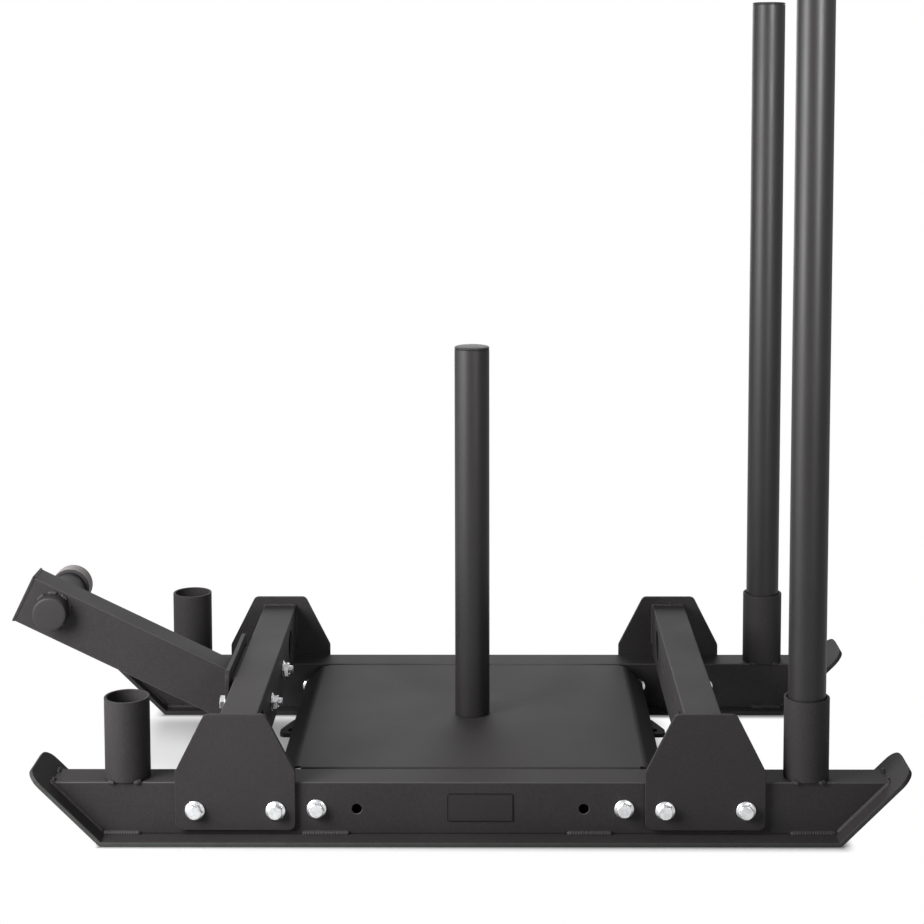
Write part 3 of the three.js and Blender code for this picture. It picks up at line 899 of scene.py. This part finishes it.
def capProfile(radius, plugRadius, plugDepth, gap, rise):
    return [
        (0, -plugDepth), (plugRadius, -plugDepth), (plugRadius, gap), (radius - 0.5, gap),
        (radius - 0.1, gap + 0.3), (radius, gap + 0.7), (radius - 0.05, gap + 1.3),
        (radius - 0.5, gap + 1.9), (radius - 1.3, gap + 2.25), (radius - 2.2, gap + 2.35),
        (radius - 3.2, gap + 2.6), (radius * 0.7, rise - 0.25), (radius * 0.35, rise - 0.05), (0, rise),
    ]


def buildCap(name, x, y, top, body):
    profile = capProfile(
        endCap["lipRadius"], endCap["plugRadius"], endCap["plugDepth"], endCap["gap"], endCap["rise"])
    turnedPiece(name, "moulding", profile, endCap["sides"], alongZ(x, y, top), blackPlastic, body)


buildUpright("weight_post", 0, 0, upright["postLow"], upright["postHigh"], "sled")
buildCap("weight_post_cap", 0, 0, upright["postHigh"], "sled")
for side in sides:
    poleX, poleY = socket["x"][(side, 1)], railMiddle[side]
    low, high = upright["poleLow"], upright["poleHigh"]
    buildUpright(f"{side}_push_pole", poleX, poleY, low, high, f"{side}_pole")
    buildCap(f"{side}_pole_cap", poleX, poleY, high, f"{side}_pole")
print("post, poles and caps built")

# Tow arm: packer and flange on the front crossbar, the sloping tube and its end plate
towArm = {
    "packerFaces": (-340.2, -334.2),
    "flangeFaces": (-346.4, -340.4),
    "packerHalfWidth": 88,
    "flangeHalfWidth": 100,
    "low": 58.26,
    "packerHigh": 150.2,
    "flangeHigh": 166.2,
    "cornerRadius": 12,
    "cornerSteps": 8,
    "plateEdge": 0.8,
    "rootX": -346.4,
    "rootZ": 105.2,
    "slope": math.radians(26),
    "length": 334,
    "halfTubeWidth": 25,
    "halfTubeHeight": 35,
    "wall": 3,
    "tubeCorner": 2,
    "tubeEdge": 0.4,
    "endPlate": 3,
    "endPlateProud": 1,
    "endPlateEdge": 0.6,
    "gap": 0.25,
    "endGap": 0.2,
}
peg = {
    "setback": 46.5,
    "rise": 4,
    "outerRadius": 24,
    "innerRadius": 21,
    "low": -47,
    "high": 116.5,
    "capRadius": 29,
    "capFrom": 89.2,
    "capTo": 119.7,
    "capGap": 0.2,
    "leftCapRise": 3.2,
    "leftCapDepth": 14,
    "plugGap": 0.4,
    "rim": 0.7,
    "gap": 0.3,
    "holeChamfer": 0.3,
    "holeSides": 72,
    "sides": 96,
}
armOut = Vector((-math.cos(towArm["slope"]), 0, math.sin(towArm["slope"])))
armUp = Vector((math.sin(towArm["slope"]), 0, math.cos(towArm["slope"])))
armRoot = Vector((towArm["rootX"], 0, towArm["rootZ"]))


def alongArm(across, up, out):
    return armRoot + armOut * out + armUp * up + Vector((0, across, 0))


pegAt = alongArm(0, peg["rise"], towArm["length"] - peg["setback"])


def alongPeg(across, up, out):
    return pegAt + armOut * across + armUp * up + Vector((0, out, 0))


def buildBoltedPlate(name, faces, wide, high):
    corner = towArm["cornerRadius"], towArm["cornerSteps"]
    loops = [boxLoop(-wide, towArm["low"], wide, high, *corner)]
    spacing, radius = crossbar["boltHoles"]
    for across in (-1, 1):
        loops.append(holeLoop(across * spacing, crossbar["holeHeight"], radius))
    platePiece(name, loops, *faces, towArm["plateEdge"], alongX())


def buildArmTube():
    wide, tall = towArm["halfTubeWidth"], towArm["halfTubeHeight"]
    loops = boxTubeLoops(-wide, -tall, wide, tall, towArm["wall"], towArm["tubeCorner"])
    reach = towArm["length"] - towArm["endPlate"] - towArm["endGap"]

    def slopedRoot(across, up, out):
        shear = up * math.tan(towArm["slope"]) if out < reach / 2 else 0
        return alongArm(across, up, out + shear)

    mesh = bmesh.new()
    addPlate(mesh, loops, towArm["gap"], reach, towArm["tubeEdge"], slopedRoot)
    cutters = bmesh.new()
    bore = peg["outerRadius"] + peg["gap"]
    addHoleCutter(cutters, bore, -wide, wide, alongPeg, peg["holeChamfer"], peg["holeSides"])
    addPiece("tow_arm_square_tube", cutAway(mesh, cutters), barCoat, ["tow_arm_tube"])


def buildArmEndPlate():
    wide = towArm["halfTubeWidth"] + towArm["endPlateProud"]
    tall = towArm["halfTubeHeight"] + towArm["endPlateProud"]
    mesh = bmesh.new()
    loops = [boxLoop(-wide, -tall, wide, tall, towArm["tubeCorner"])]
    length = towArm["length"]
    addPlate(mesh, loops, length - towArm["endPlate"], length, towArm["endPlateEdge"], alongArm)
    addPiece("tow_arm_end", mesh, powderCoat, ["tow_arm_end_plate"])


def buildPeg():
    profile = tubeProfile(peg["innerRadius"], peg["outerRadius"], peg["low"], peg["high"], peg["rim"])
    turnedPiece("tow_arm_peg", "tube", profile, peg["sides"], alongPeg, powderCoat)

    def leftwards(across, up, out):
        return alongPeg(across, up, peg["low"] - out)

    plug = peg["innerRadius"] - peg["plugGap"]
    profile = capProfile(peg["outerRadius"], plug, peg["leftCapDepth"], peg["gap"], peg["leftCapRise"])
    turnedPiece("peg_left_cap", "moulding", profile, endCap["sides"], leftwards, blackPlastic)
    bore, bottom = peg["outerRadius"] + peg["gap"], peg["high"] + peg["capGap"]
    outer, start, stop = peg["capRadius"], peg["capFrom"], peg["capTo"]
    profile = roundedLoop([
        (0, bottom, 0), (bore, bottom, 0.3), (bore, start, 0.6),
        (outer, start, 1.6), (outer, stop, 2.6), (0, stop, 0),
    ], 5)
    turnedPiece("peg_right_cap", "moulding", profile, peg["sides"], alongPeg, greyRubber)


buildBoltedPlate("tow_arm_packer", towArm["packerFaces"], towArm["packerHalfWidth"], towArm["packerHigh"])
buildBoltedPlate("tow_arm_flange", towArm["flangeFaces"], towArm["flangeHalfWidth"], towArm["flangeHigh"])
buildArmTube()
buildArmEndPlate()
buildPeg()
print("tow arm and peg built")

# Flange bolts and nuts
bolt = {
    "shankRadius": 6,
    "threadDepth": 0.55,
    "threadPitch": 1.75,
    "tail": 5.5,
    "flangeRadius": 13,
    "halfFlats": 9,
    "headHigh": 10.1,
    "nutHigh": 10,
    "boreRadius": 6.3,
    "crown": 0.58,
    "ringSides": 72,
    "gap": 0.2,
}
boltDice = random.Random(11)


def platedPiece(name, profile, toSpace, coat):
    turned = boltDice.uniform(0, math.pi / 3)
    turnedPiece(name, "plated", profile, bolt["ringSides"], toSpace, coat, turned=turned)


# The flange and the six flats, which a bolt's head and a nut share
def flangedRings(high):
    flange, flats = bolt["flangeRadius"], bolt["halfFlats"]
    return [
        (flange - 0.7, 0), (flange - 0.1, 0.3), (flange, 0.8), (flange - 0.1, 1.5),
        (flange - 0.7, 2.0), (flange - 1.8, 2.45), (flats + 1.7, 2.9), (flats + 0.15, 3.2, 0),
        (flats, 3.5, 0), (flats, high - 0.75, bolt["crown"]), (flats - 0.25, high - 0.3),
    ]


def buildBolt(name, grip, toSpace):
    reach = grip + 2 * bolt["gap"]
    tip = -(reach + bolt["nutHigh"] + bolt["tail"])
    shank, depth = bolt["shankRadius"], bolt["threadDepth"]
    rings = [(0, tip), (shank - 1.4, tip), (shank - 0.7, tip + 0.6)]
    level = tip + 1.0
    while level < tip + bolt["tail"] + 2:
        rings += [(shank - 0.05, level), (shank - depth, level + bolt["threadPitch"] / 2)]
        level += bolt["threadPitch"]
    flats, high = bolt["halfFlats"], bolt["headHigh"]
    rings += [(shank, level), (shank, 0)] + flangedRings(high)
    rings += [(flats - 0.9, high - 0.1), (flats - 2.2, high - 0.02), (0, high)]
    platedPiece(name, rings, toSpace, boltPlate)


def buildNut(name, toSpace):
    bore, high = bolt["boreRadius"], bolt["nutHigh"]
    rings = [(bore, 0)] + flangedRings(high)
    rings += [(bolt["halfFlats"] - 0.8, high), (bore + 0.7, high), (bore, high - 0.7)]
    platedPiece(name, rings, toSpace, nutPlate)


# A bolt and its nut on the two sides of what they grip, with the bolt's head outwards
def buildPair(name, grip, outwards, toSpace):
    def boltAt(across, up, out):
        return toSpace(across, up, outwards * (bolt["gap"] + out))

    def nutAt(across, up, out):
        return toSpace(across, up, -outwards * (grip + bolt["gap"] + out))

    buildBolt(f"{name}_bolt", grip, boltAt)
    buildNut(f"{name}_nut", nutAt)


level = rail["holeHeight"]
for side, outwards in sides.items():
    for end, endName in endNames.items():
        grip = rail["width"] + bolt["gap"] + bracket["thickness"]
        face = outwards * (bracket["innerFace"] + bracket["thickness"])
        for order in (1, 2):
            # Seen from outside, the first is on the left
            place = end * crossbar["x"] + (order - 1.5) * bracket["boltSpacing"] * -outwards
            name = f"{endName}_{side}_bracket_{order}"
            buildPair(name, grip, outwards, alongY(place, face, level))
        grip = rail["width"] + tray["gap"] + tray["thickness"]
        toSpace = alongY(end * tray["boltX"], outwards * railOuter, level)
        buildPair(f"{endName}_{side}_tray", grip, outwards, toSpace)
place, level = crossbar["boltHoles"][0], crossbar["holeHeight"]
face = towArm["flangeFaces"][0]
grip = towArm["packerFaces"][1] - face + crossbar["width"] + bolt["gap"]
for side, across in sides.items():
    buildPair(f"{side}_arm", grip, -1, alongX(face, across * place, level))
print("bolts and nuts built")

# Bare plate on the left rail
badge = {
    "x": 13,
    "z": 42,
    "halfLength": 43.5,
    "halfHeight": 19,
    "cornerRadius": 3,
    "thickness": 0.8,
    "edge": 0.3,
    "gap": 0.2,
}
badgeLook = {
    **powderLook,
    "dark": (0.0169, 0.0156, 0.0162, 1),
    "light": (0.0260, 0.0239, 0.0248, 1),
    "accent": (0.0045, 0.0043, 0.0044, 1),
    "rimFrom": 0.0020,
    "rimTo": 0.0012,
    "rimShare": 0.9,
}


# Darker along the plate's border
def badgeRim(graph, place):
    x, y, z = graph.parts(place)
    fromEnd = badge["halfLength"] * millimetre - abs(x - sledMiddle - badge["x"] * millimetre)
    fromTop = badge["halfHeight"] * millimetre - abs(z - badge["z"] * millimetre)
    inside = graph.maths("MINIMUM", fromEnd, fromTop)
    return graph.between(inside, badgeLook["rimFrom"], badgeLook["rimTo"]) * badgeLook["rimShare"]


badgeCoat = coatMaterial("badge_coat", badgeLook, badgeRim)


def buildBadge():
    long, tall = badge["halfLength"], badge["halfHeight"]
    mesh = bmesh.new()
    loops = [boxLoop(-long, -tall, long, tall, badge["cornerRadius"])]
    back = -railOuter - badge["gap"]
    at = alongY(badge["x"], 0, badge["z"])
    addPlate(mesh, loops, back - badge["thickness"], back, badge["edge"], at)
    addPiece("badge_plate_blank", mesh, badgeCoat, ["badge_plate"])


buildBadge()

# Weld beads: lumpy strips along a path, half sunk into the metal
weld = {
    "step": 0.9,
    "ripple": 3.4,
    "rippleShare": 0.14,
    "lumpShare": 0.12,
    "taperShare": 0.7,
    "sectionPoints": 10,
    "sunkShare": 0.55,
    "sharpAngle": 80,
}

# Width, height and roughness of each kind of bead
beadKinds = {
    "railStitch": (8, 3.6, 0.6),
    "railEnd": (8.5, 3, 0.3),
    "railTop": (6, 3, 1),
    "socket": (6.5, 3.2, 1),
    "crossbarTop": (6, 2.8, 1),
    "crossbarSide": (5, 2.2, 1),
    "armSide": (6, 2.6, 1),
    "armLevel": (6, 2.8, 1),
    "armEnd": (2.4, 0.8, 0.15),
    "peg": (6, 2.6, 1),
    "towEye": (4, 2, 1),
}
weldDice = random.Random(5)


def pathPoints(start, stop):
    start, stop = Vector(start), Vector(stop)
    count = max(4, round((stop - start).length / weld["step"]))
    return [start.lerp(stop, index / count) for index in range(count + 1)]


def arcPoints(radius, arc, height, toSpace):
    first, last = math.radians(arc[0]), math.radians(arc[1])
    count = max(4, round((last - first) * radius / weld["step"]))
    turns = [first + (last - first) * index / count for index in range(count + 1)]
    return [toSpace(radius * math.cos(turn), radius * math.sin(turn), height) for turn in turns]


def addBead(mesh, path, lift, kind):
    width, height, rough = beadKinds[kind]
    rings = []
    length = sum((after - before).length for before, after in zip(path, path[1:]))
    phase = weldDice.uniform(0, math.tau)
    travelled = 0
    for index, point in enumerate(path):
        before, after = path[max(index - 1, 0)], path[min(index + 1, len(path) - 1)]
        if index:
            travelled += (point - path[index - 1]).length
        ahead = (after - before).normalized()
        up = (lift(point) if callable(lift) else Vector(lift)).normalized()
        across = ahead.cross(up).normalized()
        fromEnd = min(travelled, length - travelled) / (width * weld["taperShare"])
        taper = math.sqrt(max(0.0, 1 - (1 - min(1.0, fromEnd)) ** 2))
        if index in (0, len(path) - 1):
            rings.append([mesh.verts.new(point)])
            continue
        swell = 1 + rough * weld["rippleShare"] * math.sin(math.tau * travelled / weld["ripple"] + phase)
        swell *= taper * (1 + weldDice.uniform(-0.5, 0.5) * weld["lumpShare"] * rough)
        ring = []
        for corner in range(weld["sectionPoints"]):
            turn = math.tau * corner / weld["sectionPoints"]
            rise = math.sin(turn) * height * (1 if math.sin(turn) > 0 else weld["sunkShare"])
            lump = 1 + weldDice.uniform(-1, 1) * weld["lumpShare"] * rough
            offset = across * (math.cos(turn) * width / 2) + up * rise
            ring.append(mesh.verts.new(point + offset * (swell * lump)))
        rings.append(ring)
    joinLevels(mesh, rings)


# Each bead is a path, the direction it rises in, and its kind
def weldPiece(name, beads):
    mesh = bmesh.new()
    for bead in beads:
        addBead(mesh, *bead)
    addPiece(name, mesh, weldCoat, sharpAngle=weld["sharpAngle"])


# Stitches lie along a rail's foot and across its ends. The beads of a sloping end run through places
# given as how far beyond the end's lowest point, and how far above it
railBeads = {
    "stitches": ((-485, -434), (-222, -158), (127, 188), (421, 484)),
    "stitchRise": 1.2,
    "endStitches": ((-22, -11), (10, 21)),
    "endStart": (2, 1.5),
    "endTip": (69, 68.5),
    "endTurned": (70, 69.8),
    "turnedIn": 8,
}


def railWelds(side):
    outwards = sides[side]
    foot, length = rail["low"], rail["endAtLow"]

    def endPlace(end, place, y):
        return end * (length + place[0]), y, foot + place[1]

    for face, away in ((railOuter, outwards), (railInner, -outwards)):
        y = outwards * face
        for stitch in railBeads["stitches"]:
            start, stop = [(-outwards * x, y, foot + railBeads["stitchRise"]) for x in stitch]
            yield pathPoints(start, stop), (0, away, 1.1), "railStitch"
        for end in (-1, 1):
            low, tip = [endPlace(end, railBeads[place], y) for place in ("endStart", "endTip")]
            turned = endPlace(end, railBeads["endTurned"], y - away * railBeads["turnedIn"])
            path = pathPoints(low, tip) + pathPoints(tip, turned)[1:]
            yield path, (-end * 0.8, away, 0.8), "railEnd"
    for end in (-1, 1):
        x = end * (length + rail["high"] - foot - 1)
        for stitch in railBeads["endStitches"]:
            start, stop = [(x, railMiddle[side] + y, rail["high"]) for y in stitch]
            yield pathPoints(start, stop), (-end, 0, 1), "railTop"


# How far off a round tube its beads lie, and their arcs in degrees
arcBeads = {
    "socket": (0.8, ((-66, -44), (-136, -114), (44, 66), (114, 136))),
    "peg": (1.5, ((5, 38), (48, 82), (92, 122), (134, 170), (200, 250), (290, 335))),
}


def arcWelds(kind, radius, height, lean, toSpace):
    def lift(point):
        return (point - toSpace(0, 0, height)).normalized() + Vector(lean)

    off, arcs = arcBeads[kind]
    for arc in arcs:
        yield arcPoints(radius + off, arc, height, toSpace), lift, kind


def socketWelds(side, end):
    at = alongZ(socket["x"][(side, end)], railMiddle[side])
    return arcWelds("socket", socket["outerRadius"], rail["high"], (0, 0, 1), at)


def crossbarWelds(end):
    x, half, top = end * crossbar["x"], crossbar["width"] / 2, crossbar["high"]
    for outwards in (-1, 1):
        y = outwards * (crossbar["halfLength"] + 0.2)
        start, stop = (x - half - 1, y, top), (x + half + 1, y, top)
        yield pathPoints(start, stop), (0, -outwards, 1.2), "crossbarTop"
        for face in (-1, 1):
            edge = x + face * half
            start, stop = (edge, y, top + 1), (edge, y, rail["high"] + 16)
            yield pathPoints(start, stop), (face, -outwards, 0), "crossbarSide"


def armWelds():
    wide, tall = towArm["halfTubeWidth"], towArm["halfTubeHeight"]
    x = towArm["rootX"]
    rise = tall / math.cos(towArm["slope"])
    low, high = towArm["rootZ"] - rise, towArm["rootZ"] + rise
    for across in (-1, 1):
        y = across * wide
        yield pathPoints((x, y, low + 2), (x, y, high - 2)), (-1, across, 0), "armSide"
    for z, rising in ((high, 1), (low, -1)):
        yield pathPoints((x, 1 - wide, z), (x, wide - 1, z)), (-1, 0, rising), "armLevel"
    out = towArm["length"] - towArm["endPlate"] - 0.1
    for across in (-1, 1):
        side = [alongArm(across * wide, up, out) for up in (1 - tall, tall - 1)]
        yield pathPoints(*side), (0, across, 0), "armEnd"
        level = [alongArm(edge, across * tall, out) for edge in (1 - wide, wide - 1)]
        yield pathPoints(*level), armUp * across, "armEnd"


def pegWelds():
    for face in (-1, 1):
        y = face * towArm["halfTubeWidth"]
        yield from arcWelds("peg", peg["outerRadius"], y, (0, face * 1.2, 0), alongPeg)


def towEyeWeld(end):
    x, z = end * (tray["endStart"] + 30), towEye["high"]
    start, stop = (x, towEye["leftSide"] + 4, z), (x, towEye["rightSide"] - 6, z)
    return [(pathPoints(start, stop), (end, 0, 0.5), "towEye")]


for side in sides:
    weldPiece(f"{side}_rail_welds", railWelds(side))
    for end, endName in endNames.items():
        weldPiece(f"{endName}_{side}_socket_welds", socketWelds(side, end))
for end, endName in endNames.items():
    weldPiece(f"{endName}_crossbar_welds", crossbarWelds(end))
    weldPiece(f"{endName}_tow_eye_weld", towEyeWeld(end))
weldPiece("tow_arm_welds", armWelds())
weldPiece("tow_arm_peg_welds", pegWelds())
print("welds built")

# Floor and backdrop: both are white to the camera, and dimmer in reflections and as light
backdrop = {
    "reflected": 0.5,
    "light": 0.02,
}
# The floor shows its own colour and shadow near the skids and under the sled, and a painted contact
# shadow darkens its colour right round the skids
floorLook = {
    "size": 14,
    "pale": (0.60, 0.60, 0.60, 1),
    "contactFrom": 0.020,
    "contactTo": 0.002,
    "contactShare": 0.85,
    "contactShadeFrom": 0.007,
    "contactShadeTo": -0.001,
    "contactShadeColour": (0.10, 0.10, 0.10, 1),
    "underMiddle": -0.1125,
    "underHalf": (0.3575, 0.165),
    "underSoft": 0.06,
}


# How far a place is outside a box on the floor, which lies about the place (0, 0)
def distanceOutside(graph, along, across, halfLong, halfWide):
    ahead = graph.maths("MAXIMUM", abs(along) - halfLong, 0)
    beside = graph.maths("MAXIMUM", abs(across) - halfWide, 0)
    return graph.maths("SQRT", ahead * ahead + beside * beside)


def buildFloor():
    half = floorLook["size"] / 2
    mesh = bmesh.new()
    corners = [(-half, -half), (half, -half), (half, half), (-half, half)]
    mesh.faces.new([mesh.verts.new((x, y, 0)) for x, y in corners])
    floor = meshObject("studio_floor", mesh)
    graph = Graph("studio_floor")
    x, y, z = graph.parts(graph.place())
    along = x - sledMiddle
    skidMiddle = (rail["spacing"] / 2 + skid["offset"]) * millimetre
    skidHalf = skid["bendAt"] * millimetre, skid["width"] / 2 * millimetre
    toSkid = distanceOutside(graph, along, abs(y) - skidMiddle, *skidHalf)
    contact = graph.between(toSkid, floorLook["contactFrom"], floorLook["contactTo"])
    toUnder = distanceOutside(graph, along - floorLook["underMiddle"], y, *floorLook["underHalf"])
    under = graph.between(toUnder, floorLook["underSoft"], 0.0)
    shadowed = graph.maths("MAXIMUM", contact * floorLook["contactShare"], under)
    share = graph.seen(backdrop["reflected"]) * (1 - shadowed)
    # Painted contact shadow: the floor's colour darkens within 7 mm of the skids
    paintedContactShade = graph.between(toSkid, floorLook["contactShadeFrom"], floorLook["contactShadeTo"])
    colour = graph.blend(paintedContactShade, floorLook["pale"], floorLook["contactShadeColour"])
    matt = graph.node("ShaderNodeBsdfDiffuse", None, {"Color": colour})
    white = graph.node("ShaderNodeEmission", None, {"Color": (1, 1, 1, 1), "Strength": 1.0})
    mixed = graph.node("ShaderNodeMixShader", None, {0: share, 1: matt, 2: white})
    graph.node("ShaderNodeOutputMaterial", None, {"Surface": mixed})
    floor.data.materials.append(graph.material)


def buildWorld():
    world = bpy.data.worlds.new("studio")
    world.use_nodes = True
    world.node_tree.nodes.clear()
    graph = Graph(tree=world.node_tree)
    level = backdrop["light"] + graph.seen(backdrop["reflected"]) * (1 - backdrop["light"])
    light = graph.node("ShaderNodeBackground", None, {"Color": (1, 1, 1, 1), "Strength": level})
    graph.node("ShaderNodeOutputWorld", None, {"Surface": light})
    scene.world = world


# Each lamp's place, target, width and height, watts, and spread in degrees
lamps = {
    "left_key": ((-1.30, -1.05, 0.97), (0.2, 0.0, 0.4), (0.75, 1.1), 63, 180),
    "left_low": ((-2.72, -0.48, 0.74), (0.0, 0.0, 0.25), (1.4, 1.4), 34, 180),
    "right_strip": ((1.38, -2.70, 1.45), (0.48, 0.0, 1.35), (0.25, 1.2), 12.5, 50),
    "behind_box": ((-0.2, 2.70, 0.98), (0.0, 0.0, 0.25), (2.8, 1.3), 30, 180),
    "overhead_box": ((0.5, -0.4, 2.3), (-0.1, 0.0, 0.1), (1.2, 1.2), 5, 180),
}


def buildLamps():
    for name, (place, target, size, watts, spread) in lamps.items():
        data = bpy.data.lights.new(name, "AREA")
        data.shape = "RECTANGLE"
        data.size, data.size_y = size
        data.energy = watts
        data.spread = math.radians(spread)
        lamp = bpy.data.objects.new(name, data)
        lamp.location = place
        lamp.rotation_euler = (Vector(target) - Vector(place)).to_track_quat("-Z", "Y").to_euler()
        scene.collection.objects.link(lamp)


buildFloor()
buildWorld()
buildLamps()
scene.view_settings.view_transform = "Standard"
print("floor, world and lamps set")
